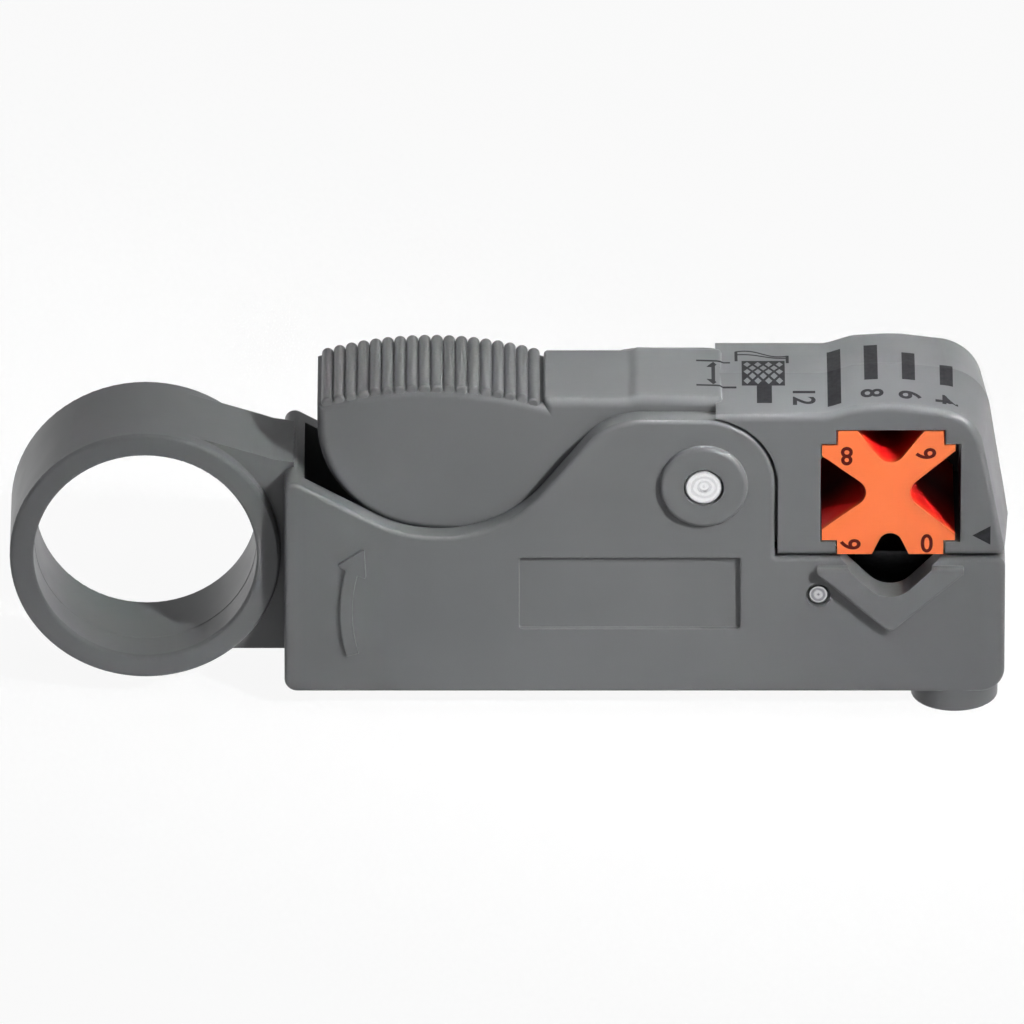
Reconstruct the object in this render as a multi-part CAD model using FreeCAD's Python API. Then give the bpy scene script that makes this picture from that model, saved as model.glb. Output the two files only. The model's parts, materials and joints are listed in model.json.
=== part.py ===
import FreeCAD, Part
import math
import os

# A hand tool that strips coaxial cable in steps. +X points to the nose, +Z up,
# and the cable lies along Y in the groove under the pressing block.
# The origin is under the middle of the whole tool, at the foot of the screw boss.

Vector = FreeCAD.Vector
UP = Vector(0, 0, 1)
ACROSS = Vector(0, 1, 0)

# Running gaps between pieces, and how far a cutting solid runs past what it cuts
fit_gap = 0.05
joint_gap = 0.3
block_gap = 0.15
past = 1.0

# Rounds that several pieces share
small_round = 0.3
mid_round = 1.0
soft_round = 2.0

# Finger ring and its neck
ring_outer_d = 27.1
ring_wall = 2.4
ring_width = 12.3
ring_round = 0.35
ring_lift = 0.45
ring_to_body = 0.35
neck_width = 9.3
neck_slope_deg = 17.5
neck_bend_from_body = 2.35
neck_foot_from_body = 1.15
neck_foot_rise = 0.35
neck_drop = 0.15
neck_bottom_height = 3.0

# Channel body
body_length = 72.05
body_width = 17.0
side_wall = 2.2
rear_wall = 2.0
nose_wall = 2.2
floor_wall = 2.0
body_round = 0.45
rear_corner = 1.3
nose_corner = 2.5
ear_height = 23.95
dip_from_rear = 18.87
dip_height = 13.45
dip_radius = 13.3
rise_from_pivot = 9.65
rise_radius = 7.0
deck_height = 14.95

# Pivot of the lever
pivot_from_rear = 41.9
pivot_height = 23.15
pivot_sweep = 7.1
pivot_pin_d = 3.7
pivot_pin_inset = 0.15
dimple_d = 1.0
dimple_depth = 0.15
pivot_boss_d = 8.8
pivot_boss_rise = 0.7
pivot_boss_round = 0.45
pin_mouth = 0.15
pin_mouth_depth = 0.6
pin_chamfer = 0.12

# Recessed panel and raised turning arrow on the front face
panel_length = 22.1
panel_height = 7.95
panel_depth = 0.5
panel_from_rear = 23.5
panel_low = 7.1
arrow_rise = 0.35
arrow_radius = 17.1
arrow_width = 1.25
arrow_from_rear = 6.85
arrow_low = 4.25
arrow_shaft = 9.6
arrow_head_length = 2.9
arrow_head_width = 3.3
arrow_head_lean_deg = 27.0
arrow_head_round = 0.15

# Cable groove and the raised V plates around it
groove_from_nose = 11.5
groove_depth = 4.97
groove_radius = 2.8
plate_rise = 1.0
plate_half = 7.35
plate_drop = 0.8
plate_side = 0.55
plate_tip = 7.1
plate_tip_radius = 0.8
plate_round = 0.25

# Hinge pin of the blade arms
hinge_from_groove = 7.15
hinge_height = 10.8
hinge_pin_d = 2.0
hinge_pin_inset = 0.3
hinge_mouth = 0.25

# Blade arms, blades and their screws
arm_count = 3
arm_clearance = 0.7
end_washer = 0.6
arm_eye_r = 2.1
arm_top_height = 9.35
arm_end = 2.0
arm_pad = 2.2
blade_length = 6.8
blade_thickness = 0.5
blade_low_height = 6.55
blade_bevel = 1.2
blade_deepest = 2.1
blade_step = 0.6
blade_screw_height = 7.65
blade_screw_d = 1.6
blade_head_d = 2.6
blade_head = 0.5
blade_slot = 0.4
spacer_d = 3.8

# Adjusting screws and the boss that holds them
screw_from_nose = 4.95
screw_wall = 0.9
screw_length = 6.0
screw_inset = 0.4
screw_socket_depth = 2.0
screw_chamfer = 0.3
boss_width = 8.7
boss_drop = 2.2
boss_round = 0.25
thread_pad = 1.6
thread_pad_half = 3.0

# Jaw lever: handle, hub and thumb pad
lever_wall = 1.8
lever_top_height = 31.35
lever_hump = 0.35
hump_end = 0.1
hump_from_pivot = 7.45
hump_run = 0.8
step_from_pivot = 1.7
jaw_skin = 0.8
web_overlap = 1.5
lever_round = 0.9
heel_height = 17.5
heel_slope = 1.3
heel_from_pivot = 17.4
tip_flat = 2.3
tip_from_rear = 3.35
pad_radius = 37.0
pad_top_height = 32.45
pad_span = 22.6
ridge_count = 18
ridge_pitch = 1.23
ridge_r = 0.6
ridge_rise = 0.5
ridge_end_round = 0.3
ridge_inset = 0.2
hub_r = 5.2
roof_wall = 1.9

# Jaw nose of the lever
jaw_edge_height = 30.8
jaw_from_pivot = 1.2
jaw_crown = 0.65
jaw_end_crown = 0.45
jaw_shoulder_crown = 0.9
jaw_round = 0.7
jaw_toe_round = 0.5
bump_from_groove = 6.4
bump_length = 2.6
bump_rise = 0.9
bump_top_rise = 1.15
bump_top_from_groove = 0.5
shoulder_lean = 3.0
shoulder_rise = 0.1
shoulder_radius = 4.9
bump_radius = 4.0
jaw_top_radius = 15.0

# Pressing block and its window
window_size = 14.0
window_leg = 10.9
block_face_inset = 0.1
block_nose_play = 0.4
lip_wall = 1.0
lip_overlap = 0.35
lip_opening_height = 6.2
block_top_notch = (6.7, 4.5, 1.5)
block_left_notch = (8.2, 5.35, 1.5)
block_right_notch = (10.0, 5.7, 1.6)
block_bottom_notch = (3.7, 4.0, 1.2)

# Return spring
spring_from_pivot = 19.35
spring_d = 6.4
spring_wire = 0.7
spring_turns = 8
spring_top_height = 24.45
spring_cup_depth = 1.5
spring_cup_wall = 0.8
spigot_d = 4.2
spigot_height = 2.5
spigot_chamfer = 0.4

# Places worked out from the sizes above
overall_length = ring_outer_d + ring_to_body + body_length + jaw_end_crown
ring_inner_r = ring_outer_d / 2 - ring_wall
ring_x = -overall_length / 2 + ring_outer_d / 2
rear_x = ring_x + ring_outer_d / 2 + ring_to_body
nose_x = rear_x + body_length
bottom_z = boss_drop
floor_z = bottom_z + floor_wall
deck_z = bottom_z + deck_height
ring_z = bottom_z + ring_lift + ring_outer_d / 2
half_width = body_width / 2
inner_half = half_width - side_wall
pivot_x = rear_x + pivot_from_rear
pivot_z = bottom_z + pivot_height
groove_x = nose_x - groove_from_nose
hinge_x = groove_x - hinge_from_groove
hinge_z = bottom_z + hinge_height
screw_x = nose_x - screw_from_nose
screw_top_z = screw_inset + screw_length
jaw_z = deck_z + joint_gap
lever_half = inner_half - joint_gap
spring_x = pivot_x - spring_from_pivot
spring_top_z = bottom_z + spring_top_height
clear_above = bottom_z + 2 * lever_top_height
arm_spacing = blade_thickness + blade_head + arm_clearance
arm_pitch = (2 * inner_half - end_washer) / arm_count
arm_width = arm_pitch - arm_spacing
screw_d = arm_pitch - screw_wall - 2 * fit_gap
screw_socket = screw_d / 2


def outline(corners):
    """Closed wire in the XZ plane through corners (x, z, radius).

    A fourth value is a point that the side arriving at the corner curves through.
    """
    points = [Vector(corner[0], 0, corner[1]) for corner in corners]
    count = len(corners)
    ends = []
    for i in range(count):
        here = points[i]
        radius = corners[i][2]
        if radius == 0:
            ends.append((here, None, here))
            continue
        back = (points[i - 1] - here).normalize()
        ahead = (points[(i + 1) % count] - here).normalize()
        half_angle = back.getAngle(ahead) / 2
        reach = radius / math.tan(half_angle)
        depth = radius / math.sin(half_angle) - radius
        middle = here + (back + ahead).normalize() * depth
        ends.append((here + back * reach, middle, here + ahead * reach))
    edges = []
    for i in range(count):
        start, middle, stop = ends[i]
        previous = ends[i - 1][2]
        if len(corners[i]) > 3:
            via = Vector(corners[i][3][0], 0, corners[i][3][1])
            edges.append(Part.Arc(previous, via, start).toShape())
        elif (start - previous).Length > 1e-6:
            edges.append(Part.LineSegment(previous, start).toShape())
        if middle is not None:
            edges.append(Part.Arc(start, middle, stop).toShape())
    return Part.Wire(Part.__sortEdges__(edges))


def prism(corners, low_y, high_y):
    """Solid with the given XZ outline between two places across the tool."""
    face = Part.Face(outline(corners))
    face.translate(Vector(0, low_y, 0))
    return face.extrude(Vector(0, high_y - low_y, 0))


def rod(x, z, radius, low_y, high_y):
    """Cylinder across the tool."""
    return Part.makeCylinder(radius, high_y - low_y, Vector(x, low_y, z), ACROSS)


def box(low_x, high_x, low_y, high_y, low_z, high_z):
    size = (high_x - low_x, high_y - low_y, high_z - low_z)
    return Part.makeBox(*size, Vector(low_x, low_y, low_z))


def edges_where(shape, test):
    """Edges of a shape whose bounding box passes a test."""
    return [edge for edge in shape.Edges if test(edge.BoundBox)]


def flat_at_y(bounds, y):
    return abs(bounds.YMin - y) < 1e-4 and abs(bounds.YMax - y) < 1e-4


def both_sides(solid):
    """A solid and its mirror image across the middle plane."""
    return [solid, solid.mirror(Vector(0, 0, 0), ACROSS)]


def tapered_rod(x, z, radius, length, chamfer):
    """Pin across the tool, centred, with chamfered ends."""
    pin = rod(x, z, radius, -length / 2, length / 2)
    rims = edges_where(pin, lambda b: b.YLength < 1e-4)
    return pin.makeChamfer(chamfer, rims)


def finger_ring():
    outer_r = ring_outer_d / 2
    half = ring_width / 2
    section = outline([
        (-half, outer_r, ring_round),
        (half, outer_r, ring_round),
        (half, ring_inner_r, ring_round),
        (-half, ring_inner_r, ring_round),
    ])
    section.rotate(Vector(0, 0, 0), UP, 90)
    ring = Part.Face(section).revolve(Vector(0, 0, 0), ACROSS, 360)
    ring.translate(Vector(ring_x, 0, ring_z))
    return ring


def ring_neck():
    slope = math.radians(neck_slope_deg)
    outer_r = ring_outer_d / 2
    start_x = ring_x + outer_r * math.sin(slope)
    start_z = ring_z + outer_r * math.cos(slope)
    bend_x = rear_x - neck_bend_from_body
    bend_z = start_z - (bend_x - start_x) * math.tan(slope)
    root_z = bottom_z + ear_height - neck_drop
    low_z = bottom_z + neck_bottom_height
    low_x = ring_x + math.sqrt(outer_r ** 2 - (ring_z - low_z) ** 2)
    inside_x = rear_x + rear_wall / 2
    neck = prism([
        (start_x, start_z, 0),
        (bend_x, bend_z, soft_round),
        (rear_x - neck_foot_from_body, root_z + neck_foot_rise, mid_round),
        (inside_x, root_z, 0),
        (inside_x, low_z, 0),
        (low_x, low_z, 0),
    ], -neck_width / 2, neck_width / 2)
    return neck.cut(rod(ring_x, ring_z, ring_inner_r + ring_wall / 2, -neck_width, neck_width))


def body_block():
    """Outside of the channel body with all its long edges rounded."""
    arc_corner_x = pivot_x + pivot_sweep
    top_z = pivot_z + pivot_sweep
    block = prism([
        (rear_x, bottom_z, rear_corner),
        (rear_x, bottom_z + ear_height, mid_round),
        (rear_x + dip_from_rear, bottom_z + dip_height, dip_radius),
        (pivot_x - rise_from_pivot, top_z, rise_radius),
        (arc_corner_x, top_z, pivot_sweep),
        (arc_corner_x, deck_z, small_round),
        (nose_x, deck_z, mid_round),
        (nose_x, bottom_z, nose_corner),
    ], -half_width, half_width)
    rims = edges_where(block, lambda b: flat_at_y(b, half_width) or flat_at_y(b, -half_width))
    return block.makeFillet(body_round, rims)


def channel():
    return prism([
        (rear_x + rear_wall, floor_z, mid_round),
        (rear_x + rear_wall, clear_above, 0),
        (nose_x - nose_wall, clear_above, 0),
        (nose_x - nose_wall, floor_z, mid_round),
    ], -inner_half, inner_half)


def screw_boss():
    """Rounded boss under the nose, as wide as the body."""
    radius = boss_width / 2
    offset = half_width - radius
    parts = [
        Part.makeCylinder(radius, floor_z, Vector(screw_x, offset, 0)),
        Part.makeCylinder(radius, floor_z, Vector(screw_x, -offset, 0)),
    ]
    boss = box(screw_x - radius, screw_x + radius, -offset, offset, 0, floor_z).multiFuse(parts)
    boss = boss.removeSplitter()
    return boss.makeFillet(boss_round, edges_where(boss, lambda b: b.ZMax < 1e-4))


def v_plate():
    """Raised plate around the cable groove, on the front face."""
    top_z = deck_z - plate_drop
    plate = prism([
        (groove_x - plate_half, top_z, plate_round),
        (groove_x - plate_half, top_z - plate_side, plate_round),
        (groove_x, top_z - plate_tip, plate_tip_radius),
        (groove_x + plate_half, top_z - plate_side, plate_round),
        (groove_x + plate_half, top_z, plate_round),
    ], -half_width - plate_rise, -inner_half)
    rims = edges_where(plate, lambda b: flat_at_y(b, -half_width - plate_rise))
    return plate.makeFillet(plate_round, rims)


def cable_groove():
    apex_z = deck_z - groove_depth
    rise = 2 * groove_depth
    reach = half_width + plate_rise + past
    return prism([
        (groove_x - rise, apex_z + rise, 0),
        (groove_x, apex_z, groove_radius),
        (groove_x + rise, apex_z + rise, 0),
    ], -reach, reach)


def pivot_boss():
    boss = rod(pivot_x, pivot_z, pivot_boss_d / 2, -half_width - pivot_boss_rise, -inner_half)
    rims = edges_where(boss, lambda b: flat_at_y(b, -half_width - pivot_boss_rise))
    return boss.makeFillet(pivot_boss_round, rims)


def turning_arrow():
    """Curved arrow that shows which way the tool is turned round the cable."""
    foot_x = rear_x + arrow_from_rear
    foot_z = bottom_z + arrow_low
    swing = arrow_shaft / arrow_radius
    centre_x = foot_x + arrow_radius * math.cos(swing / 2)
    centre_z = foot_z + arrow_shaft / 2

    def on_arc(radius, along):
        angle = math.pi + swing / 2 - along * swing
        return (centre_x + radius * math.cos(angle), centre_z + radius * math.sin(angle))

    outer = arrow_radius + arrow_width / 2
    inner = arrow_radius - arrow_width / 2
    shaft = prism([
        (*on_arc(inner, 0), 0),
        (*on_arc(inner, 1), 0, on_arc(inner, 0.5)),
        (*on_arc(outer, 1), 0),
        (*on_arc(outer, 0), 0, on_arc(outer, 0.5)),
    ], -half_width - arrow_rise, -inner_half)
    lean = math.radians(arrow_head_lean_deg)
    along = Vector(math.sin(lean), 0, math.cos(lean))
    aside = Vector(math.cos(lean), 0, -math.sin(lean)) * (arrow_head_width / 2)
    end_x, end_z = on_arc(arrow_radius, 1)
    base = Vector(end_x, 0, end_z) - along * (arrow_width / 4)
    corners = [base - aside, base + along * arrow_head_length, base + aside]
    head = prism([(corner.x, corner.z, arrow_head_round) for corner in corners],
                 -half_width - arrow_rise, -inner_half)
    return shaft.fuse(head).removeSplitter()


def panel_pocket():
    low_x = rear_x + panel_from_rear
    low_z = bottom_z + panel_low
    return prism([
        (low_x, low_z, small_round),
        (low_x + panel_length, low_z, small_round),
        (low_x + panel_length, low_z + panel_height, small_round),
        (low_x, low_z + panel_height, small_round),
    ], -half_width - past, -half_width + panel_depth)


def pin_holes(x, z, pin_r, outer_y, mouth, depth):
    """Bore through both walls, with a wider mouth at each outer face."""
    bore = rod(x, z, pin_r + fit_gap, -outer_y - past, outer_y + past)
    wide = rod(x, z, pin_r + mouth, -outer_y - past, -outer_y + depth)
    return [bore] + both_sides(wide)


def arm_places():
    first_y = -inner_half + end_washer + arm_width / 2
    return [first_y + i * arm_pitch for i in range(arm_count)]


def make_main_body():
    body = body_block().cut(channel())
    thread_block = box(screw_x - thread_pad_half, nose_x - nose_wall / 2,
                       -inner_half - side_wall / 4, inner_half + side_wall / 4,
                       floor_z - floor_wall / 4, floor_z + thread_pad)
    spigot = Part.makeCylinder(spigot_d / 2, floor_wall / 4 + spigot_height,
                               Vector(spring_x, 0, floor_z - floor_wall / 4))
    spigot = spigot.makeChamfer(spigot_chamfer, edges_where(spigot, lambda b: b.ZMin > floor_z))
    added = [ring_neck(), finger_ring(), screw_boss(), thread_block, spigot, turning_arrow()]
    added += both_sides(v_plate()) + both_sides(pivot_boss())
    body = body.multiFuse(added)
    cuts = [cable_groove(), panel_pocket()]
    cuts += pin_holes(pivot_x, pivot_z, pivot_pin_d / 2, half_width + pivot_boss_rise,
                      pin_mouth, pin_mouth_depth)
    cuts += pin_holes(hinge_x, hinge_z, hinge_pin_d / 2, half_width, hinge_mouth, pin_mouth_depth)
    for y in arm_places():
        hole = Part.makeCylinder(screw_d / 2 + fit_gap, floor_z + thread_pad + 2 * past,
                                 Vector(screw_x, y, -past))
        cuts.append(hole)
    return body.cut(cuts).removeSplitter()


def handle_block():
    """Handle outline with rounded side edges, before the ridges and the hollow."""
    tip_x = rear_x + tip_from_rear
    pad_x = tip_x + pad_span / 2
    pad_z = bottom_z + pad_top_height
    pad_centre_z = pad_z - pad_radius
    end_z = pad_centre_z + math.sqrt(pad_radius ** 2 - (pad_span / 2) ** 2)
    top_z = bottom_z + lever_top_height
    hump_x = pivot_x - hump_from_pivot
    step_x = pivot_x + step_from_pivot
    under_z = top_z - jaw_skin
    web_x = pivot_x + pivot_sweep + joint_gap + web_overlap
    heel_z = bottom_z + heel_height
    heel_x = pivot_x - heel_from_pivot
    lean = math.atan2(heel_slope, heel_x - tip_x)
    heel_radius = (end_z - heel_z - tip_flat) * math.tan(math.pi / 4 + lean / 2)
    block = prism([
        (tip_x, end_z, 0),
        (tip_x + pad_span, end_z, 0, (pad_x, pad_z)),
        (tip_x + pad_span, top_z, small_round),
        (hump_x, top_z, mid_round),
        (hump_x + hump_run, top_z + lever_hump, mid_round),
        (step_x, top_z + hump_end, small_round),
        (step_x + small_round, under_z, 0),
        (web_x, under_z, 0),
        (web_x, jaw_z, 0),
        (pivot_x + hub_r, jaw_z, mid_round),
        (pivot_x, pivot_z - hub_r, soft_round),
        (heel_x, heel_z - heel_slope, soft_round),
        (tip_x, heel_z, heel_radius),
    ], -lever_half, lever_half)

    def long_edge(b):
        on_side = flat_at_y(b, lever_half) or flat_at_y(b, -lever_half)
        return on_side and b.XMax < step_x - small_round and b.DiagonalLength > hub_r / 2

    return block.makeFillet(lever_round, edges_where(block, long_edge))


def thumb_ridges():
    """Row of round ridges across the pad, set out along its curve."""
    pad_x = rear_x + tip_from_rear + pad_span / 2
    centre_z = bottom_z + pad_top_height - pad_radius
    track = pad_radius + ridge_rise - ridge_r
    reach = lever_half - ridge_inset
    ridges = []
    for i in range(ridge_count):
        angle = (i - (ridge_count - 1) / 2) * ridge_pitch / pad_radius
        x = pad_x + track * math.sin(angle)
        z = centre_z + track * math.cos(angle)
        ridge = rod(x, z, ridge_r, -reach, reach)
        rims = edges_where(ridge, lambda b: b.YLength < 1e-4)
        ridges.append(ridge.makeFillet(ridge_end_round, rims))
    return ridges


def handle_hollow():
    """Space inside the handle, open below, from the tip to the hub."""
    roof_z = bottom_z + lever_top_height - roof_wall
    low_z = bottom_z
    tip_x = rear_x + tip_from_rear + lever_wall
    half = lever_half - lever_wall
    hollow = prism([
        (tip_x, low_z, 0),
        (tip_x, roof_z, mid_round),
        (pivot_x, roof_z, 0),
        (pivot_x, low_z, 0),
    ], -half, half)
    hub = rod(pivot_x, pivot_z, hub_r, -lever_half, lever_half)
    return hollow.cut(hub)


def spring_cup():
    """Seat inside the handle that holds the top of the spring."""
    half = spring_d / 2 + joint_gap + spring_cup_wall
    low_z = spring_top_z - spring_cup_depth
    cup = Part.makeCylinder(half, bottom_z + lever_top_height - roof_wall / 2 - low_z,
                            Vector(spring_x, 0, low_z))
    pocket = Part.makeCylinder(spring_d / 2 + joint_gap, spring_cup_depth,
                               Vector(spring_x, 0, low_z))
    return cup.cut(pocket)


def jaw_section(y, crown, end_crown, shoulder_crown):
    edge_z = bottom_z + jaw_edge_height + crown
    bump_x = groove_x - bump_from_groove
    left_x = pivot_x + jaw_from_pivot
    section = outline([
        (left_x, jaw_z, 0),
        (left_x, edge_z, 0),
        (bump_x, edge_z, bump_radius),
        (bump_x + bump_length, edge_z + bump_rise, bump_radius),
        (groove_x + bump_top_from_groove, edge_z + bump_top_rise, jaw_top_radius),
        (nose_x - shoulder_lean + shoulder_crown, edge_z + shoulder_rise, shoulder_radius),
        (nose_x + end_crown, jaw_z, jaw_toe_round),
    ])
    section.translate(Vector(0, y, 0))
    return section


def jaw_nose():
    """Full-width front of the lever, crowned towards its middle plane."""
    sections = [
        jaw_section(-half_width, 0, 0, 0),
        jaw_section(0, jaw_crown, jaw_end_crown, jaw_shoulder_crown),
        jaw_section(half_width, 0, 0, 0),
    ]
    nose = Part.makeLoft(sections, True, True)

    def outer_edge(b):
        on_face = flat_at_y(b, half_width) or flat_at_y(b, -half_width)
        return on_face and b.XMax > pivot_x + 2 * jaw_from_pivot and b.ZMax > jaw_z + fit_gap

    nose = nose.makeFillet(jaw_round, edges_where(nose, outer_edge))
    sweep_r = pivot_sweep + joint_gap
    reach = half_width + past
    swept = rod(pivot_x, pivot_z, sweep_r, -reach, reach)
    below = box(pivot_x, pivot_x + sweep_r, -reach, reach, jaw_z - past, pivot_z)
    return nose.cut([swept, below])


def plus_corners(centre_x, centre_z, size, leg):
    """Square with its four corners cut out square."""
    s = size / 2
    g = leg / 2
    steps = [(-s, -g), (-s, g), (-g, g), (-g, s), (g, s), (g, g),
             (s, g), (s, -g), (g, -g), (g, -s), (-g, -s), (-g, -g)]
    return [(centre_x + x, centre_z + z, 0) for x, z in steps]


def jaw_window():
    """Opening in the jaw for the pressing block, with a lip behind it and open to the cable."""
    centre_z = jaw_z + window_size / 2
    lip_y = half_width - lip_wall
    half = window_leg / 2
    window = prism(plus_corners(groove_x, centre_z, window_size, window_leg),
                   -half_width - past, lip_y)
    leg = box(groove_x - half, groove_x + half, -half_width - past, lip_y, jaw_z - past, centre_z)
    behind = box(groove_x - half + lip_overlap, groove_x + half - lip_overlap,
                 0, half_width + past, jaw_z - past, jaw_z + lip_opening_height)
    return window.multiFuse([leg, behind])


def make_jaw_lever():
    handle = handle_block().multiFuse(thumb_ridges())
    handle = handle.cut(handle_hollow())
    handle = handle.multiFuse([spring_cup(), jaw_nose()])
    bore = rod(pivot_x, pivot_z, pivot_pin_d / 2 + fit_gap, -body_width, body_width)
    return handle.cut([bore, jaw_window()]).removeSplitter()


def block_notch(turn_deg, size, centre_x, centre_z, half, reach):
    """V notch with a round root, cut into the block's face at the given turn."""
    width, depth, radius = size
    mouth = width / 2 * (1 + past / depth)
    notch = prism([
        (-mouth, half + past, 0),
        (0, half - depth, radius),
        (mouth, half + past, 0),
    ], -reach, reach)
    notch.rotate(Vector(0, 0, 0), ACROSS, turn_deg)
    notch.translate(Vector(centre_x, 0, centre_z))
    return notch


def make_v_block():
    size = window_size - 2 * block_gap
    leg = window_leg - 2 * block_gap
    centre_z = jaw_z + window_size / 2
    block = prism(plus_corners(groove_x, centre_z, size, leg),
                  -half_width + block_face_inset, half_width - lip_wall - block_gap)
    notches = [
        block_notch(0, block_top_notch, groove_x, centre_z, size / 2, half_width),
        block_notch(90, block_right_notch, groove_x, centre_z, size / 2, half_width),
        block_notch(180, block_bottom_notch, groove_x, centre_z, size / 2, half_width),
        block_notch(270, block_left_notch, groove_x, centre_z, size / 2, half_width),
    ]
    play = box(groove_x + size / 2 - block_nose_play, groove_x + size, -half_width, half_width,
               centre_z - size, centre_z + size)
    return block.cut(notches + [play])


def make_pivot_pin():
    length = body_width + 2 * (pivot_boss_rise - pivot_pin_inset)
    pin = tapered_rod(pivot_x, pivot_z, pivot_pin_d / 2, length, pin_chamfer)
    dimple = rod(pivot_x, pivot_z, dimple_d / 2, -length / 2 - past, -length / 2 + dimple_depth)
    return pin.cut(both_sides(dimple))


def make_hinge_pin():
    length = body_width - 2 * hinge_pin_inset
    return tapered_rod(hinge_x, hinge_z, hinge_pin_d / 2, length, pin_chamfer)


def make_return_spring():
    wire_r = spring_wire / 2
    mean_r = spring_d / 2 - wire_r
    low_z = floor_z + fit_gap + wire_r
    height = spring_top_z - fit_gap - wire_r - low_z
    path = Part.makeHelix(height / spring_turns, height, mean_r)
    lead = Vector(0, mean_r * 2 * math.pi, height / spring_turns)
    end = Part.Wire(Part.makeCircle(wire_r, Vector(mean_r, 0, 0), lead))
    spring = Part.Wire(path).makePipeShell([end], True, True)
    spring.translate(Vector(spring_x, 0, low_z))
    return spring


def make_blade_arm(y):
    low_y = y - arm_width / 2
    high_y = y + arm_width / 2
    top_z = bottom_z + arm_top_height
    pad_z = screw_top_z + fit_gap
    bar = prism([
        (hinge_x - 1.2, hinge_z + 1.2, 0),
        (hinge_x + 2.4, top_z, 1.0),
        (screw_x + arm_end, top_z, 0.6),
        (screw_x + arm_end, pad_z, 0.4),
        (screw_x - arm_pad, pad_z, 0.8),
        (hinge_x - 1.4, hinge_z - 1.5, 0),
    ], low_y, high_y)
    eye = rod(hinge_x, hinge_z, arm_eye_r, low_y, high_y)
    arm = bar.fuse(eye).removeSplitter()
    hinge_bore = rod(hinge_x, hinge_z, hinge_pin_d / 2 + fit_gap, low_y - 1, high_y + 1)
    screw_z = bottom_z + blade_screw_height
    screw_bore = rod(groove_x, screw_z, blade_screw_d / 2 + fit_gap, low_y - 1, high_y + 1)
    return arm.cut([hinge_bore, screw_bore])


def make_blade(y, index):
    """Thin blade on the side of its arm, ground to an edge along the top."""
    face_y = y + arm_width / 2
    back_y = face_y + blade_thickness
    low_z = bottom_z + blade_low_height
    groove_floor_z = deck_z - groove_depth + groove_radius * (math.sqrt(2) - 1)
    edge_z = groove_floor_z + blade_deepest - index * blade_step
    low_x = groove_x - blade_length / 2
    points = [Vector(low_x, face_y, low_z), Vector(low_x, back_y, low_z),
              Vector(low_x, back_y, edge_z - blade_bevel), Vector(low_x, face_y, edge_z)]
    section = Part.Face(Part.makePolygon(points + points[:1]))
    blade = section.extrude(Vector(blade_length, 0, 0))
    screw_z = bottom_z + blade_screw_height
    return blade.cut(rod(groove_x, screw_z, blade_screw_d / 2 + fit_gap, face_y - 1, back_y + 1))


def make_blade_screw(y):
    seat_y = y + arm_width / 2 + blade_thickness
    head_y = seat_y + blade_head
    z = bottom_z + blade_screw_height
    shank = rod(groove_x, z, blade_screw_d / 2, y - arm_width / 2, seat_y + blade_head / 2)
    head = rod(groove_x, z, blade_head_d / 2, seat_y, head_y)
    head = head.makeFillet(0.15, edges_where(head, lambda b: flat_at_y(b, head_y)))
    slot = box(groove_x - blade_head_d, groove_x + blade_head_d, head_y - blade_head / 2, head_y + 1,
               z - blade_slot / 2, z + blade_slot / 2)
    return head.fuse(shank).cut(slot).removeSplitter()


def make_adjusting_screw(y):
    screw = Part.makeCylinder(screw_d / 2, screw_length, Vector(screw_x, y, screw_inset))
    screw = screw.makeChamfer(screw_chamfer, edges_where(screw, lambda b: b.ZLength < 1e-4))
    corner_r = screw_socket / math.sqrt(3)
    corners = []
    for i in range(7):
        angle = math.radians(60 * i)
        corners.append(Vector(screw_x + corner_r * math.cos(angle),
                              y + corner_r * math.sin(angle), screw_inset))
    socket = Part.Face(Part.makePolygon(corners)).extrude(UP * screw_socket_depth)
    return screw.cut(socket)


def spacer_spans():
    """Free stretches of the hinge pin between the walls and the arms."""
    spans = []
    low_y = -inner_half
    for y in arm_places():
        spans.append((low_y + fit_gap, y - arm_width / 2 - fit_gap))
        low_y = y + arm_width / 2
    spans.append((low_y + fit_gap, inner_half - fit_gap))
    return spans


def make_arm_spacer(low_y, high_y):
    washer = rod(hinge_x, hinge_z, spacer_d / 2, low_y, high_y)
    return washer.cut(rod(hinge_x, hinge_z, hinge_pin_d / 2 + fit_gap, low_y - 1, high_y + 1))


def make_all():
    nodes = {
        "main_body": make_main_body(),
        "jaw_lever": make_jaw_lever(),
        "v_block": make_v_block(),
        "pivot_pin": make_pivot_pin(),
        "hinge_pin": make_hinge_pin(),
        "return_spring": make_return_spring(),
    }
    for index, y in enumerate(arm_places()):
        number = index + 1
        nodes[f"blade_arm_{number}"] = make_blade_arm(y)
        nodes[f"blade_{number}"] = make_blade(y, index)
        nodes[f"blade_screw_{number}"] = make_blade_screw(y)
        nodes[f"adjusting_screw_{number}"] = make_adjusting_screw(y)
    for index, (low_y, high_y) in enumerate(spacer_spans()):
        nodes[f"arm_spacer_{index + 1}"] = make_arm_spacer(low_y, high_y)
    return nodes


os.makedirs("parts", exist_ok=True)
for name, shape in make_all().items():
    shape.exportStep(f"parts/{name}.step")
    box_now = shape.BoundBox
    print(f"{name}: {len(shape.Solids)} solid, valid {shape.isValid()}, "
          f"volume {shape.Volume:.1f}, x {box_now.XMin:.2f} {box_now.XMax:.2f}, "
          f"y {box_now.YMin:.2f} {box_now.YMax:.2f}, z {box_now.ZMin:.2f} {box_now.ZMax:.2f}")
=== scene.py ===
import json
import math

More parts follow.
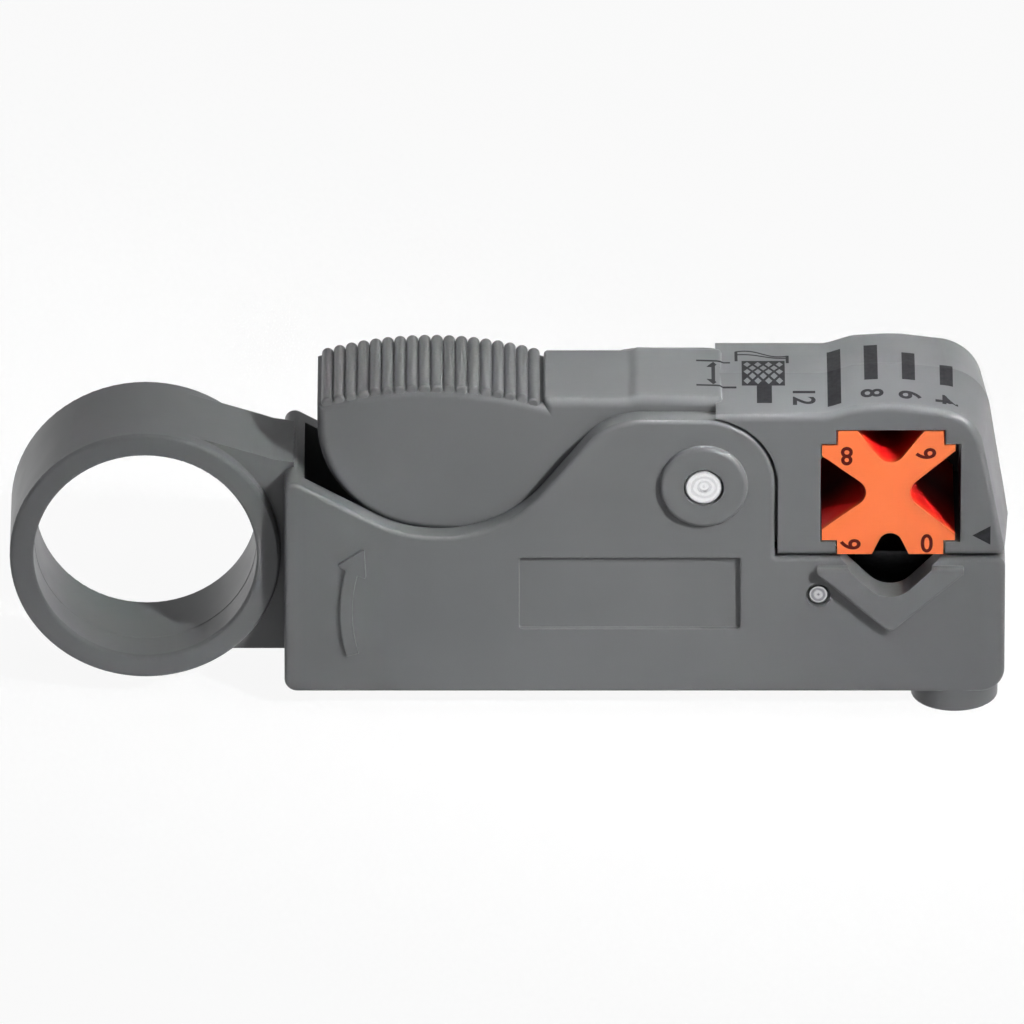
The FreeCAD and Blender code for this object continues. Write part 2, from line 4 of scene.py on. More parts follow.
import bpy
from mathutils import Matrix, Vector


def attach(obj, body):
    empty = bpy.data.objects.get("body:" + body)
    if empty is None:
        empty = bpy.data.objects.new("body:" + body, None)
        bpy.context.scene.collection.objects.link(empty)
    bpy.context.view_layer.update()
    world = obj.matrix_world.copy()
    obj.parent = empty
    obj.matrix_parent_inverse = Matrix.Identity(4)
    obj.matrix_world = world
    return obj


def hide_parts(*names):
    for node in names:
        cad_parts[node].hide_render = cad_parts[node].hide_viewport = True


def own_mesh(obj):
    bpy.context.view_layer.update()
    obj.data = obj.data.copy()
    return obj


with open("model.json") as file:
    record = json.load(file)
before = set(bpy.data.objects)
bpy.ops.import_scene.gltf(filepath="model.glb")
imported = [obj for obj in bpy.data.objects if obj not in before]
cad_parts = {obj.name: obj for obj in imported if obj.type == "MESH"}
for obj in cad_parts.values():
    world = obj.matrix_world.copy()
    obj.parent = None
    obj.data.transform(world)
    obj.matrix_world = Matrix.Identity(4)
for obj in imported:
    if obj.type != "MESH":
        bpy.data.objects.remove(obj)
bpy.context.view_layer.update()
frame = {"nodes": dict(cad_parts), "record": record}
print("frame is in")

mm = 0.001
scene = bpy.context.scene
cadNodes = frame["nodes"]


# small helpers

def pickOnly(*things):
    bpy.ops.object.select_all(action='DESELECT')
    for thing in things:
        thing.select_set(True)
    bpy.context.view_layer.objects.active = things[0]


def settle(thing):
    # puts an object's place and turn into its mesh
    pickOnly(thing)
    bpy.ops.object.transform_apply(location=True, rotation=True, scale=True)


def applyAll(thing):
    pickOnly(thing)
    for modifier in list(thing.modifiers):
        bpy.ops.object.modifier_apply(modifier=modifier.name)


def coat(thing, material):
    thing.data.materials.clear()
    thing.data.materials.append(material)


# camera at the photograph's angle: nearly side on, looking down on the tool

cameraSet = {
    "elevation": 26.5,
    "distance": 3000 * mm,
    "sensor": 36.0,
    "clipStart": 0.5,
    "widthSeen": 102.2 * mm,
    "aim": Vector((0.25, -8.5, 22.35)) * mm,
}


def addCamera(s):
    tilt = math.radians(s["elevation"])
    look = Vector((0, math.cos(tilt), -math.sin(tilt)))
    bpy.ops.object.camera_add(location=s["aim"] - look * s["distance"],
                              rotation=(math.radians(90) - tilt, 0, 0))
    camera = bpy.context.object
    camera.data.sensor_width = s["sensor"]
    camera.data.lens = s["sensor"] * s["distance"] / s["widthSeen"]
    camera.data.clip_start = s["clipStart"]
    scene.camera = camera
    print("camera is set")


addCamera(cameraSet)


# materials

def newMaterial(name):
    material = bpy.data.materials.new(name)
    material.use_nodes = True
    nodes = material.node_tree.nodes
    links = material.node_tree.links
    shader = nodes["Principled BSDF"]
    return material, nodes, links, shader


def noiseAt(nodes, links, scale, detail, stretch=(1, 1, 1)):
    where = nodes.new("ShaderNodeTexCoord")
    place = nodes.new("ShaderNodeMapping")
    place.inputs["Scale"].default_value = stretch
    noise = nodes.new("ShaderNodeTexNoise")
    noise.inputs["Scale"].default_value = scale
    noise.inputs["Detail"].default_value = detail
    links.new(where.outputs["Object"], place.inputs["Vector"])
    links.new(place.outputs["Vector"], noise.inputs["Vector"])
    return noise.outputs["Fac"]


def ramp(nodes, links, value, low, high, lowAt=0.35, highAt=0.65):
    steps = nodes.new("ShaderNodeValToRGB")
    steps.color_ramp.elements[0].position = lowAt
    steps.color_ramp.elements[0].color = low
    steps.color_ramp.elements[1].position = highAt
    steps.color_ramp.elements[1].color = high
    links.new(value, steps.inputs["Fac"])
    return steps.outputs["Color"]


def mixBy(nodes, links, factor, low, high=None):
    # low and high are sockets; with no high, the caller sets the second colour on the node
    mix = nodes.new("ShaderNodeMix")
    mix.data_type = 'RGBA'
    links.new(factor, mix.inputs["Factor"])
    if low is not None:
        links.new(low, mix.inputs["A"])
    if high is not None:
        links.new(high, mix.inputs["B"])
    return mix


def grey(value):
    return (value, value, value, 1)


def roundedNormal(nodes, radius, samples=4):
    edge = nodes.new("ShaderNodeBevel")
    edge.samples = samples
    edge.inputs["Radius"].default_value = radius
    return edge.outputs["Normal"]


def bumpFrom(nodes, links, shader, value, strength, distance, softEdge=0.0):
    bump = nodes.new("ShaderNodeBump")
    if softEdge > 0:  # sharp edges of the solid catch the light as a small round does
        links.new(roundedNormal(nodes, softEdge), bump.inputs["Normal"])
    bump.inputs["Strength"].default_value = strength
    bump.inputs["Distance"].default_value = distance
    links.new(value, bump.inputs["Height"])
    links.new(bump.outputs["Normal"], shader.inputs["Normal"])


mouldSet = {  # what both plastics share
    "cloudDetail": 4, "sheenFiner": 4, "sheenDetail": 3, "grainDetail": 2, "grainBump": 0.5, "ior": 1.5,
    "skin": 0.02 * mm,  # of plain orange before the painted shade starts
    "highlightStart": 0.99, "highlightFull": 0.80, "highlightMost": 0.7,  # match of the normals, share of the painted highlight colour
}
plasticSet = {
    "grey": {"dark": (0.120, 0.124, 0.128, 1), "light": (0.132, 0.136, 0.141, 1),
             "rough": (0.32, 0.44), "cloud": 60, "grain": 5200, "grainDepth": 0.000010,
             # the pale grey at the end of this row is a painted highlight for sharp edges
             "softEdge": 0.15 * mm, "edgeHighlight": (0.26, 0.262, 0.266, 1)},
    "orange": {"dark": (0.90, 0.185, 0.050, 1), "light": (0.95, 0.205, 0.060, 1),
               "rough": (0.28, 0.38), "cloud": 90, "grain": 3500, "grainDepth": 0.000005,
               "softEdge": 0.10 * mm,
               # ends, reach and inside set the painted shade that darkens the orange to crimson deeper
               # along the cable
               "ends": (-8.4 * mm, 7.35 * mm), "reach": 7.5 * mm,
               "inside": [(0.03, (0.88, 0.10, 0.03, 1)), (0.13, (0.85, 0.018, 0.014, 1)),
                          (1.0, (0.30, 0.004, 0.006, 1))]},
}


def paintedNotchShade(nodes, links, colour, s):
    # painted shade: mixes in a darker crimson with the distance from the nearer end along the cable, for
    # the shade down in the notches
    where = nodes.new("ShaderNodeTexCoord")
    split = nodes.new("ShaderNodeSeparateXYZ")
    links.new(where.outputs["Object"], split.inputs["Vector"])
    middle = (s["ends"][0] + s["ends"][1]) / 2
    half = (s["ends"][1] - s["ends"][0]) / 2
    fromMiddle = nodes.new("ShaderNodeMath")
    fromMiddle.operation = 'SUBTRACT'
    fromMiddle.inputs[1].default_value = middle
    links.new(split.outputs["Y"], fromMiddle.inputs[0])
    apart = nodes.new("ShaderNodeMath")
    apart.operation = 'ABSOLUTE'
    links.new(fromMiddle.outputs[0], apart.inputs[0])
    depth = nodes.new("ShaderNodeMapRange")
    depth.inputs["From Min"].default_value = half - mouldSet["skin"]
    depth.inputs["From Max"].default_value = half - s["reach"]
    links.new(apart.outputs[0], depth.inputs["Value"])
    steps = nodes.new("ShaderNodeValToRGB")
    for place, tone in s["inside"][1:-1]:
        steps.color_ramp.elements.new(place).color = tone
    for element, (place, tone) in zip(steps.color_ramp.elements, s["inside"]):
        element.position = place
        element.color = tone
    links.new(depth.outputs["Result"], steps.inputs["Fac"])
    inside = nodes.new("ShaderNodeMapRange")
    inside.inputs["From Max"].default_value = s["inside"][0][0]
    links.new(depth.outputs["Result"], inside.inputs["Value"])
    return mixBy(nodes, links, inside.outputs["Result"], colour, steps.outputs["Color"]).outputs["Result"]


def paintedEdgeHighlight(nodes, links, colour, s):
    # painted highlight: a paler colour where the softened normal leaves the true one, along sharp edges
    true = nodes.new("ShaderNodeNewGeometry")
    match = nodes.new("ShaderNodeVectorMath")
    match.operation = 'DOT_PRODUCT'
    links.new(roundedNormal(nodes, s["softEdge"]), match.inputs[0])
    links.new(true.outputs["Normal"], match.inputs[1])
    edge = nodes.new("ShaderNodeMapRange")
    edge.inputs["From Min"].default_value = mouldSet["highlightStart"]
    edge.inputs["From Max"].default_value = mouldSet["highlightFull"]
    edge.inputs["To Max"].default_value = mouldSet["highlightMost"]
    links.new(match.outputs["Value"], edge.inputs["Value"])
    mix = mixBy(nodes, links, edge.outputs["Result"], colour)
    mix.inputs["B"].default_value = s["edgeHighlight"]
    return mix.outputs["Result"]


def mouldedPlastic(name, s):
    # satin moulding: faint cloudy colour, fine spark-eroded grain
    material, nodes, links, shader = newMaterial(name)
    cloud = noiseAt(nodes, links, s["cloud"], mouldSet["cloudDetail"])
    colour = ramp(nodes, links, cloud, s["dark"], s["light"])
    if "inside" in s:  # painted shade: the orange goes darker crimson down in the notches
        colour = paintedNotchShade(nodes, links, colour, s)
    if "edgeHighlight" in s:  # painted highlight: sharp edges are paler
        colour = paintedEdgeHighlight(nodes, links, colour, s)
    links.new(colour, shader.inputs["Base Color"])
    sheen = noiseAt(nodes, links, s["cloud"] * mouldSet["sheenFiner"], mouldSet["sheenDetail"])
    roughness = ramp(nodes, links, sheen, grey(s["rough"][0]), grey(s["rough"][1]), 0.2, 0.8)
    links.new(roughness, shader.inputs["Roughness"])
    grain = noiseAt(nodes, links, s["grain"], mouldSet["grainDetail"])
    bumpFrom(nodes, links, shader, grain, mouldSet["grainBump"], s["grainDepth"], s["softEdge"])
    shader.inputs["IOR"].default_value = mouldSet["ior"]
    return material


markSet = {"detail": 4, "bump": 0.35, "ringDetail": 3, "ringBump": 0.5}  # tool marks on the metal pieces
steelSet = {
    "bright": {"tint": (0.78, 0.79, 0.80, 1), "dull": (0.62, 0.63, 0.64, 1), "rough": (0.16, 0.30),
               "lines": (900, 900, 900), "depth": 0.000004},
    "arm": {"tint": (0.022, 0.022, 0.024, 1), "dull": (0.014, 0.014, 0.015, 1), "rough": (0.5, 0.66),
            "lines": (1800, 1800, 1800), "depth": 0.000002},
    # the blade's steel is much darker than bright steel: painted shade for the dark inside the jaw
    "blade": {"tint": (0.090, 0.092, 0.098, 1), "dull": (0.055, 0.056, 0.060, 1), "rough": (0.28, 0.40),
              "lines": (600, 900, 2400), "depth": 0.000002},
    "spring": {"tint": (0.56, 0.55, 0.53, 1), "dull": (0.4, 0.4, 0.4, 1), "rough": (0.25, 0.4),
               "lines": (1200, 1200, 1200), "depth": 0.000003},
    "black": {"tint": (0.035, 0.035, 0.038, 1), "dull": (0.02, 0.02, 0.021, 1), "rough": (0.34, 0.5),
              "lines": (1500, 1500, 1500), "depth": 0.000004},
}


def workedSteel(name, s):
    material, nodes, links, shader = newMaterial(name)
    marks = noiseAt(nodes, links, 1.0, markSet["detail"], s["lines"])
    links.new(ramp(nodes, links, marks, s["dull"], s["tint"]), shader.inputs["Base Color"])
    roughness = ramp(nodes, links, marks, grey(s["rough"][1]), grey(s["rough"][0]))
    links.new(roughness, shader.inputs["Roughness"])
    bumpFrom(nodes, links, shader, marks, markSet["bump"], s["depth"])
    shader.inputs["Metallic"].default_value = 1.0
    return material


turnedSet = {
    "pivot": {"centre": (19.375, 0, 25.35), "light": (0.90, 0.90, 0.91, 1), "dark": (0.74, 0.74, 0.76, 1),
              "rings": 0.55, "waver": 4.0, "rough": (0.20, 0.34), "depth": 0.000004},
    "hinge": {"centre": (30.875, 0, 13.0), "light": (0.54, 0.54, 0.55, 1), "dark": (0.28, 0.28, 0.30, 1),
              "rings": 0.5, "waver": 3.0, "rough": (0.18, 0.30), "depth": 0.000003},
}


def turnedSteel(name, s):
    # bright pin with the fine rings that the lathe leaves on its ends
    material, nodes, links, shader = newMaterial(name)
    where = nodes.new("ShaderNodeTexCoord")
    place = nodes.new("ShaderNodeMapping")
    place.inputs["Location"].default_value = [-value for value in s["centre"]]
    place.inputs["Scale"].default_value = (1 / mm, 1 / mm, 1 / mm)
    links.new(where.outputs["Object"], place.inputs["Vector"])
    rings = nodes.new("ShaderNodeTexWave")
    rings.wave_type = 'RINGS'
    rings.rings_direction = 'Y'
    rings.inputs["Scale"].default_value = s["rings"]
    rings.inputs["Distortion"].default_value = s["waver"]
    rings.inputs["Detail"].default_value = markSet["ringDetail"]
    links.new(place.outputs["Vector"], rings.inputs["Vector"])
    links.new(ramp(nodes, links, rings.outputs["Fac"], s["dark"], s["light"], 0.1, 0.7),
              shader.inputs["Base Color"])
    roughness = ramp(nodes, links, rings.outputs["Fac"], grey(s["rough"][1]), grey(s["rough"][0]))
    links.new(roughness, shader.inputs["Roughness"])
    bumpFrom(nodes, links, shader, rings.outputs["Fac"], markSet["ringBump"], s["depth"])
    shader.inputs["Metallic"].default_value = 1.0
    return material


inkSet = {
    "cloud": 1800, "detail": 3, "rough": 0.6, "gloss": 0.2,
    "jaw": {"dark": (0.010, 0.010, 0.011, 1), "light": (0.018, 0.018, 0.020, 1)},
    "block": {"dark": (0.080, 0.004, 0.002, 1), "light": (0.110, 0.008, 0.004, 1)},
}


def padPrint(name, tones, s):
    material, nodes, links, shader = newMaterial(name)
    cloud = noiseAt(nodes, links, s["cloud"], s["detail"])
    links.new(ramp(nodes, links, cloud, tones["dark"], tones["light"]), shader.inputs["Base Color"])
    shader.inputs["Roughness"].default_value = s["rough"]
    shader.inputs["Specular IOR Level"].default_value = s["gloss"]
    return material


greyPlastic = mouldedPlastic("greyPlastic", plasticSet["grey"])
orangePlastic = mouldedPlastic("orangePlastic", plasticSet["orange"])
brightSteel = workedSteel("brightSteel", steelSet["bright"])
armSteel = workedSteel("armSteel", steelSet["arm"])
bladeSteel = workedSteel("bladeSteel", steelSet["blade"])
springSteel = workedSteel("springSteel", steelSet["spring"])
blackSteel = workedSteel("blackSteel", steelSet["black"])
pivotSteel = turnedSteel("pivotSteel", turnedSet["pivot"])
hingeSteel = turnedSteel("hingeSteel", turnedSet["hinge"])
printInk = padPrint("printInk", inkSet["jaw"], inkSet)
blockInk = padPrint("blockInk", inkSet["block"], inkSet)

finishOf = {
    "grey_plastic": greyPlastic, "orange_plastic": orangePlastic, "bright_steel": brightSteel,
    "arm_steel": armSteel, "blade_steel": bladeSteel, "screw_steel": brightSteel,
    "spring_steel": springSteel, "black_steel": blackSteel,
}
for row in frame["record"]["subparts"]:
    coat(cadNodes[row["node"]], finishOf[row["material_slot"]])
coat(cadNodes["pivot_pin"], pivotSteel)
coat(cadNodes["hinge_pin"], hingeSteel)
print("finishes are on")


# printed marks: thin sheets of ink laid on the jaw and on the block

def editOn(thing):
    pickOnly(thing)
    bpy.ops.object.mode_set(mode='EDIT')
    bpy.ops.mesh.select_all(action='SELECT')


def editOff():
    bpy.ops.object.mode_set(mode='OBJECT')


printSet = {"above": 45 * mm, "ink": 0.03 * mm}  # where sheets start over the jaw, how thick ink is


def layOnJaw(sheet):
    # drops a flat sheet on the crowned top of the lever, then lifts it by the ink's thickness
    wrap = sheet.modifiers.new("drop", 'SHRINKWRAP')
    wrap.target = cadNodes["jaw_lever"]
    wrap.wrap_method = 'PROJECT'
    wrap.use_project_z = True
    wrap.use_negative_direction = True
    wrap.use_positive_direction = False
    applyAll(sheet)
    editOn(sheet)
    bpy.ops.transform.translate(value=(0, 0, printSet["ink"]))
    editOff()


def finishPrint(sheet, name, ink, body="lever"):
    sheet.name = name
    coat(sheet, ink)
    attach(sheet, body)


barSet = {
    "piece": 0.35 * mm,  # longest side of a face
    "bars": [  # strip lengths 12, 8, 6 and 4: name, middle x, low y, high y, width
        ("bar12", 32.40, -6.85, 5.15, 1.35),
        ("bar8", 36.08, -3.1, 4.9, 1.35),
        ("bar6", 39.82, -3.1, 2.9, 1.30),
        ("bar4", 43.60, -3.45, 0.55, 1.30),
    ],
    "lines": [  # of the little drawing of a stripped cable: name, low x, high x, low y, high y
        ("upperLimit", 18.65, 22.05, 2.42, 2.78),
        ("lowerLimit", 18.65, 22.65, -3.10, -2.74),
        ("spanLine", 20.17, 20.53, -2.0, 1.7),
        ("bareCore", 24.68, 26.18, -5.95, -2.5),
        ("leftCut", 22.50, 22.80, 3.0, 5.6),
        ("rightCut", 27.62, 27.92, 2.5, 4.5),
    ],
}


def addPatch(name, lowX, highX, lowY, highY, s):
    # a plain rectangle with enough cuts to follow the crown
    middle = ((lowX + highX) / 2 * mm, (lowY + highY) / 2 * mm, printSet["above"])
    bpy.ops.mesh.primitive_plane_add(size=1, location=middle)
    patch = bpy.context.object
    patch.scale = ((highX - lowX) * mm, (highY - lowY) * mm, 1)
    settle(patch)
    editOn(patch)
    longest = max(highX - lowX, highY - lowY) * mm
    bpy.ops.mesh.subdivide(number_cuts=max(1, int(longest / s["piece"])))
    editOff()
    layOnJaw(patch)
    finishPrint(patch, name, printInk)


for name, x, lowY, highY, width in barSet["bars"]:
    addPatch(name, x - width / 2, x + width / 2, lowY, highY, barSet)
for name, lowX, highX, lowY, highY in barSet["lines"]:
    addPatch(name, lowX, highX, lowY, highY, barSet)
print("bars are printed")


arrowHeadSet = {
    "size": 0.80 * mm,
    "heads": [("upperHead", 20.35, 1.60, 90), ("lowerHead", 20.35, -1.90, -90)],
}


def addArrowHead(name, x, y, turn, s):
    bpy.ops.mesh.primitive_circle_add(vertices=3, radius=s["size"], fill_type='NGON',
                                      location=(x * mm, y * mm, printSet["above"]),
                                      rotation=(0, 0, math.radians(turn - 90)))
    head = bpy.context.object
    settle(head)
    layOnJaw(head)
    finishPrint(head, name, printInk)


for name, x, y, turn in arrowHeadSet["heads"]:
    addArrowHead(name, x, y, turn, arrowHeadSet)


braidSet = {
    "low": (23.20, -2.55), "high": (27.50, 3.10), "across": 8, "along": 6, "hole": 0.68,
    "near": 0.1,  # of a crossing, in squares of the grid
}


def addBraid(s):
    # a woven screen: a grid with diamond holes at every second crossing
    width = s["high"][0] - s["low"][0]
    depth = s["high"][1] - s["low"][1]
    bpy.ops.mesh.primitive_grid_add(x_subdivisions=s["across"], y_subdivisions=s["along"], size=1)
    braid = bpy.context.object
    braid.scale = (s["across"], s["along"], 1)
    settle(braid)
    chosen = []
    for vertex in braid.data.vertices:
        column = round(vertex.co.x + s["across"] / 2)
        row = round(vertex.co.y + s["along"] / 2)
        inside = 0 < column < s["across"] and 0 < row < s["along"]
        chosen.append(inside and (column + row) % 2 == 0)
    editOn(braid)
    bpy.ops.mesh.select_all(action='DESELECT')
    bpy.ops.mesh.select_mode(type='VERT')
    editOff()
    for vertex, picked in zip(braid.data.vertices, chosen):
        vertex.select = picked
    bpy.ops.object.mode_set(mode='EDIT')
    bpy.ops.mesh.bevel(offset=s["hole"], offset_type='OFFSET', affect='VERTICES', segments=1)
    editOff()
    for face in braid.data.polygons:  # the faces that the bevel made sit on the old crossings
        column = face.center.x + s["across"] / 2
        row = face.center.y + s["along"] / 2
        face.select = abs(column - round(column)) < s["near"] and abs(row - round(row)) < s["near"]
    bpy.ops.object.mode_set(mode='EDIT')
    bpy.ops.mesh.select_mode(type='FACE')
    bpy.ops.mesh.delete(type='FACE')
    editOff()
    braid.scale = (width / s["across"] * mm, depth / s["along"] * mm, 1)
    braid.location = ((s["low"][0] + width / 2) * mm, (s["low"][1] + depth / 2) * mm, printSet["above"])
    settle(braid)
    layOnJaw(braid)
    finishPrint(braid, "braidPrint", printInk)
    print("braid has", len(braid.data.polygons), "faces")


addBraid(braidSet)


jacketSet = {
    "from": 22.6, "to": 27.85, "cuts": 24, "width": 0.3,
    "edges": [  # the torn end of the jacket: name, y at the left, y at the right, wave
        ("jacketTop", 5.55, 4.35, 0.42),
        ("jacketFold", 4.75, 3.85, 0.22),
    ],
}


def addJacketEdge(name, leftY, rightY, wave, s):
    bpy.ops.mesh.primitive_grid_add(x_subdivisions=s["cuts"], y_subdivisions=1, size=1)
    edge = bpy.context.object
    edge.scale = (s["to"] - s["from"], s["width"], 1)
    settle(edge)
    for vertex in edge.data.vertices:
        along = vertex.co.x / (s["to"] - s["from"]) + 0.5
        vertex.co.y += leftY + (rightY - leftY) * along + wave * math.sin(2 * math.pi * along)
    edge.scale = (mm, mm, 1)
    edge.location = ((s["from"] + s["to"]) / 2 * mm, 0, printSet["above"])
    settle(edge)
    layOnJaw(edge)
    finishPrint(edge, name, printInk)


for name, leftY, rightY, wave in jacketSet["edges"]:
    addJacketEdge(name, leftY, rightY, wave, jacketSet)
print("cable drawing is printed")


digitSet = {
    "fatten": 0.02, "curveSteps": 6, "size": 3.1 * mm, "narrow": 1.1,
    "digits": [  # on the jaw's top, read from the side: text, x, y
        ("12", 29.4, -4.95), ("8", 36.15, -5.75), ("6", 39.95, -6.1), ("4", 43.60, -6.2),
    ],
    "blockSize": 2.8 * mm, "blockNarrow": 0.9, "blockFace": -8.4 * mm, "blockInk": 0.02 * mm,
    "blockDigits": [  # on the front of the block, each turned to its notch: name, text, x, z, turn
        ("blockDigit8", "8", 33.64, 28.53, 180), ("blockDigit9", "6", 41.52, 28.75, 104),
        ("blockDigit6", "6", 34.02, 18.71, 90), ("blockDigit0", "0", 41.67, 18.81, 0),
    ],
}


def addDigits(text, size, narrow, s):
    bpy.ops.object.text_add()
    digits = bpy.context.object
    digits.data.body = text
    digits.data.size = size
    digits.data.offset = size * s["fatten"]
    digits.data.align_x = 'CENTER'
    digits.data.align_y = 'CENTER'
    digits.data.resolution_u = s["curveSteps"]
    pickOnly(digits)
    bpy.ops.object.convert(target='MESH')
    digits = bpy.context.object
    bpy.ops.object.origin_set(type='ORIGIN_GEOMETRY', center='BOUNDS')
    digits.location = (0, 0, 0)
    digits.scale = (narrow, 1, 1)
    settle(digits)
    return digits


for text, x, y in digitSet["digits"]:
    digits = addDigits(text, digitSet["size"], digitSet["narrow"], digitSet)
    digits.rotation_euler = (0, 0, math.radians(-90))
    digits.location = (x * mm, y * mm, printSet["above"])
    settle(digits)
    layOnJaw(digits)
    finishPrint(digits, "jawDigits" + text, printInk)
for name, text, x, z, turn in digitSet["blockDigits"]:
    digits = addDigits(text, digitSet["blockSize"], digitSet["blockNarrow"], digitSet)
    digits.rotation_euler = (math.radians(90), 0, 0)
    settle(digits)
    digits.rotation_euler = (0, math.radians(-turn), 0)
    digits.location = (x * mm, digitSet["blockFace"] - digitSet["blockInk"], z * mm)
    settle(digits)
    finishPrint(digits, name, blockInk)
print("digits are printed")


pointerSet = {"x": 47.42, "z": 19.75, "size": 1.2 * mm, "face": -8.5 * mm, "ink": 0.02 * mm}


def addPointer(s):
    # the small mark on the jaw that points at the digit in use
    bpy.ops.mesh.primitive_circle_add(vertices=3, radius=s["size"], fill_type='NGON')
    pointer = bpy.context.object
    pointer.rotation_euler = (0, 0, math.radians(90))
    settle(pointer)
    pointer.rotation_euler = (math.radians(90), 0, 0)
    pointer.location = (s["x"] * mm, s["face"] - s["ink"], s["z"] * mm)
    settle(pointer)
    finishPrint(pointer, "jawPointer", printInk)


addPointer(pointerSet)


seamSet = {"centre": (-36.425, -2.0, 16.2), "radius": 11.15, "proud": 0.05, "wide": 0.12, "steps": 180,
           "sides": 6}


def addSeam(s):
    # the faint line that the mould leaves round the inside of the finger ring
    bpy.ops.mesh.primitive_torus_add(major_radius=s["radius"] * mm, minor_radius=s["proud"] * mm,
                                     major_segments=s["steps"], minor_segments=s["sides"])
    seam = bpy.context.object
    seam.scale = (1, 1, s["wide"] / s["proud"] / 2)
    seam.rotation_euler = (math.radians(90), 0, 0)
    seam.location = [value * mm for value in s["centre"]]
    settle(seam)
    pickOnly(seam)
    bpy.ops.object.shade_smooth()
    finishPrint(seam, "ringSeam", greyPlastic, "body")


addSeam(seamSet)


coilSet = {
    "wire": 0.35 * mm, "mean": 2.85 * mm, "x": 0.025 * mm, "low": 4.6 * mm, "rise": 21.65 * mm, "turns": 8,
    "round": 14, "steps": 28, "seat": (0.025 * mm, 0, 4.2 * mm), "squeezed": 0.735,
    "lean": (-0.14, 0, 1),  # the handle's cup carries the top of the spring towards the pivot
}


def addReturnSpring(s):
    # a round wire swept up a screw, which is squeezed when the handle is pressed
    bpy.ops.mesh.primitive_circle_add(vertices=s["round"], radius=s["wire"],
                                      location=(s["mean"], 0, 0), rotation=(math.radians(90), 0, 0))
    spring = bpy.context.object
    settle(spring)
    coil = spring.modifiers.new("coil", 'SCREW')
    coil.axis = 'Z'
    coil.angle = math.radians(360)
    coil.iterations = s["turns"]
    coil.screw_offset = s["rise"] / s["turns"]
    coil.steps = s["steps"]
    coil.render_steps = s["steps"]
    coil.use_smooth_shade = True
    applyAll(spring)
    editOn(spring)
    bpy.ops.mesh.select_all(action='DESELECT')
    bpy.ops.mesh.select_mode(type='EDGE')
    bpy.ops.mesh.select_non_manifold()
    bpy.ops.mesh.edge_face_add()
    bpy.ops.mesh.select_all(action='SELECT')
    bpy.ops.mesh.normals_make_consistent(inside=False)
    editOff()
    spring.location = (s["x"], 0, s["low"])
    settle(spring)
    spring.name = "returnSpring"
    coat(spring, springSteel)
    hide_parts("return_spring")
    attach(spring, "body")
    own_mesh(spring)
    print("spring has", len(spring.data.polygons), "faces")


addReturnSpring(coilSet)


# floor and light

stageSet = {
    "floor": 3.0, "floorSeen": (0.88, 0.88, 0.88, 1), "floorBounce": (0.20, 0.20, 0.20, 1), "glow": 0.92,
    "floorRough": 0.9,
    "sky": 0.22, "skyShine": 0.36, "lamps": [
        {"name": "topLamp", "at": (0.28, 0.0, 0.38), "aim": (0, 0, 0.02), "size": 0.25, "watts": 0.29,
         "spread": 180},
        {"name": "jawLamp", "at": (0.08, 0.06, 0.93), "aim": (0.042, 0, 0.033), "size": 0.06,
         "watts": 0.0150, "spread": 6.4},
        {"name": "frontLamp", "at": (0.72, -0.50, 0.80), "aim": (0, 0, 0.02), "size": 0.35, "watts": 2.4,
         "spread": 180},
        {"name": "middleLamp", "at": (0.62, -0.60, 0.62), "aim": (0.016, -0.008, 0.026), "size": 0.07,
         "watts": 0.0365, "spread": 7.6},
        {"name": "backLamp", "at": (-0.85, 0.55, 0.25), "aim": (0, 0, 0.02), "size": 0.6, "watts": 2.2,
         "spread": 180},
    ],
}


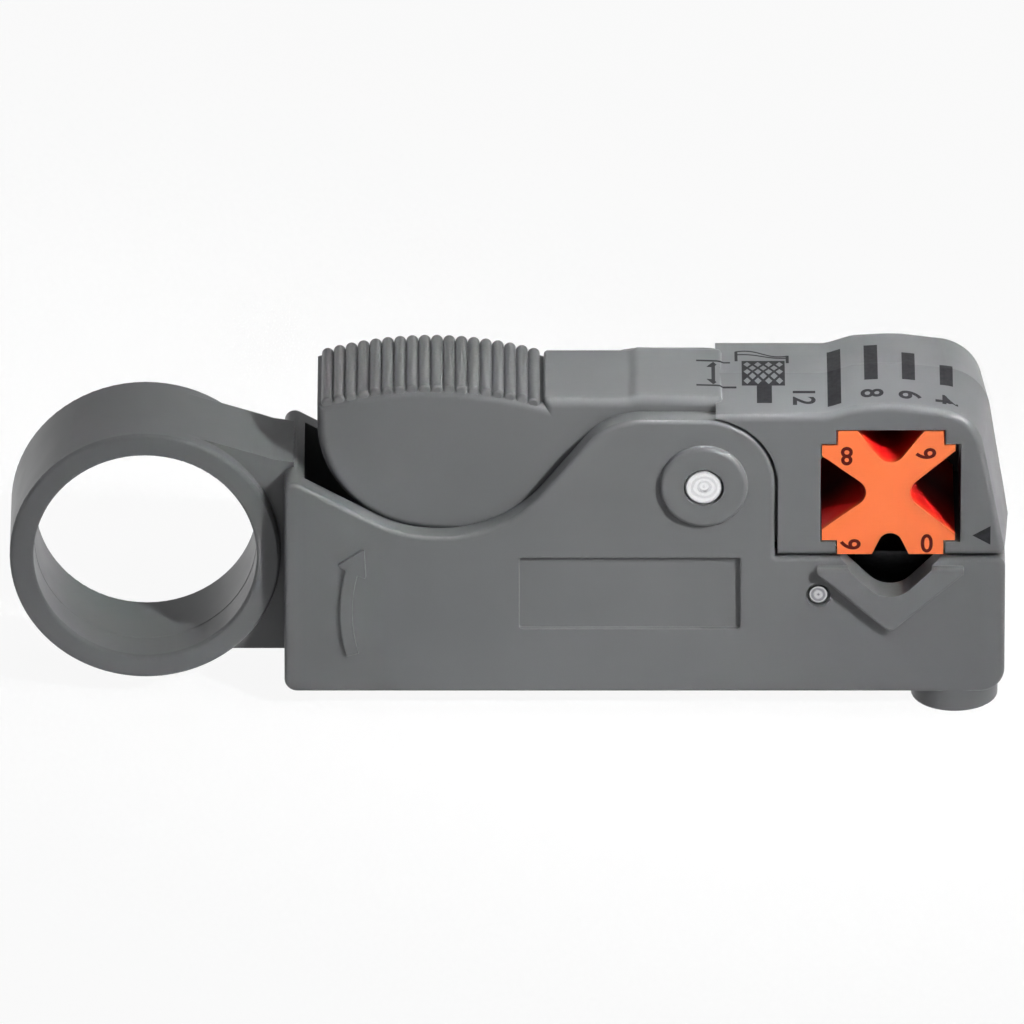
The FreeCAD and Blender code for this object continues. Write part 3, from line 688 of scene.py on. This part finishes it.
def paleFloor(s):
    # white where it is looked at, greyer for what it throws back on the tool, clear from underneath
    material, nodes, links, shader = newMaterial("paleFloor")
    shader.inputs["Roughness"].default_value = s["floorRough"]
    path = nodes.new("ShaderNodeLightPath")
    tone = mixBy(nodes, links, path.outputs["Is Camera Ray"], None)
    tone.inputs["A"].default_value = s["floorBounce"]
    tone.inputs["B"].default_value = s["floorSeen"]
    links.new(tone.outputs["Result"], shader.inputs["Base Color"])
    seen = nodes.new("ShaderNodeMath")
    seen.operation = 'MAXIMUM'
    links.new(path.outputs["Is Camera Ray"], seen.inputs[0])
    links.new(path.outputs["Is Glossy Ray"], seen.inputs[1])
    part = nodes.new("ShaderNodeMath")
    part.operation = 'MULTIPLY'
    part.inputs[1].default_value = s["glow"]
    links.new(seen.outputs[0], part.inputs[0])
    glow = nodes.new("ShaderNodeEmission")
    mix = nodes.new("ShaderNodeMixShader")
    links.new(part.outputs[0], mix.inputs["Fac"])
    links.new(shader.outputs[0], mix.inputs[1])
    links.new(glow.outputs[0], mix.inputs[2])
    side = nodes.new("ShaderNodeNewGeometry")
    clear = nodes.new("ShaderNodeBsdfTransparent")
    oneSided = nodes.new("ShaderNodeMixShader")
    links.new(side.outputs["Backfacing"], oneSided.inputs["Fac"])
    links.new(mix.outputs[0], oneSided.inputs[1])
    links.new(clear.outputs[0], oneSided.inputs[2])
    links.new(oneSided.outputs[0], nodes["Material Output"].inputs["Surface"])
    return material


def paleSky(s):
    # dim for light, brighter for reflections, white where it is looked at
    world = bpy.data.worlds.new("studio")
    scene.world = world
    world.use_nodes = True
    nodes = world.node_tree.nodes
    links = world.node_tree.links
    path = nodes.new("ShaderNodeLightPath")
    shine = nodes.new("ShaderNodeMapRange")
    shine.inputs["To Min"].default_value = s["sky"]
    shine.inputs["To Max"].default_value = s["skyShine"]
    links.new(path.outputs["Is Glossy Ray"], shine.inputs["Value"])
    seen = nodes.new("ShaderNodeMath")
    seen.operation = 'MAXIMUM'
    links.new(shine.outputs["Result"], seen.inputs[0])
    links.new(path.outputs["Is Camera Ray"], seen.inputs[1])
    nodes["Background"].inputs["Color"].default_value = (1, 1, 1, 1)
    links.new(seen.outputs[0], nodes["Background"].inputs["Strength"])


def addStage(s):
    bpy.ops.mesh.primitive_plane_add(size=s["floor"])
    floor = bpy.context.object
    floor.name = "floor"
    coat(floor, paleFloor(s))
    paleSky(s)
    for lamp in s["lamps"]:
        bpy.ops.object.light_add(type='AREA', location=lamp["at"])
        light = bpy.context.object
        light.name = lamp["name"]
        light.data.size = lamp["size"]
        light.data.energy = lamp["watts"]
        light.data.spread = math.radians(lamp["spread"])
        towards = Vector(lamp["aim"]) - light.location
        light.rotation_euler = towards.to_track_quat('-Z', 'Y').to_euler()
    print("stage is lit")


addStage(stageSet)
scene.view_settings.view_transform = 'Standard'
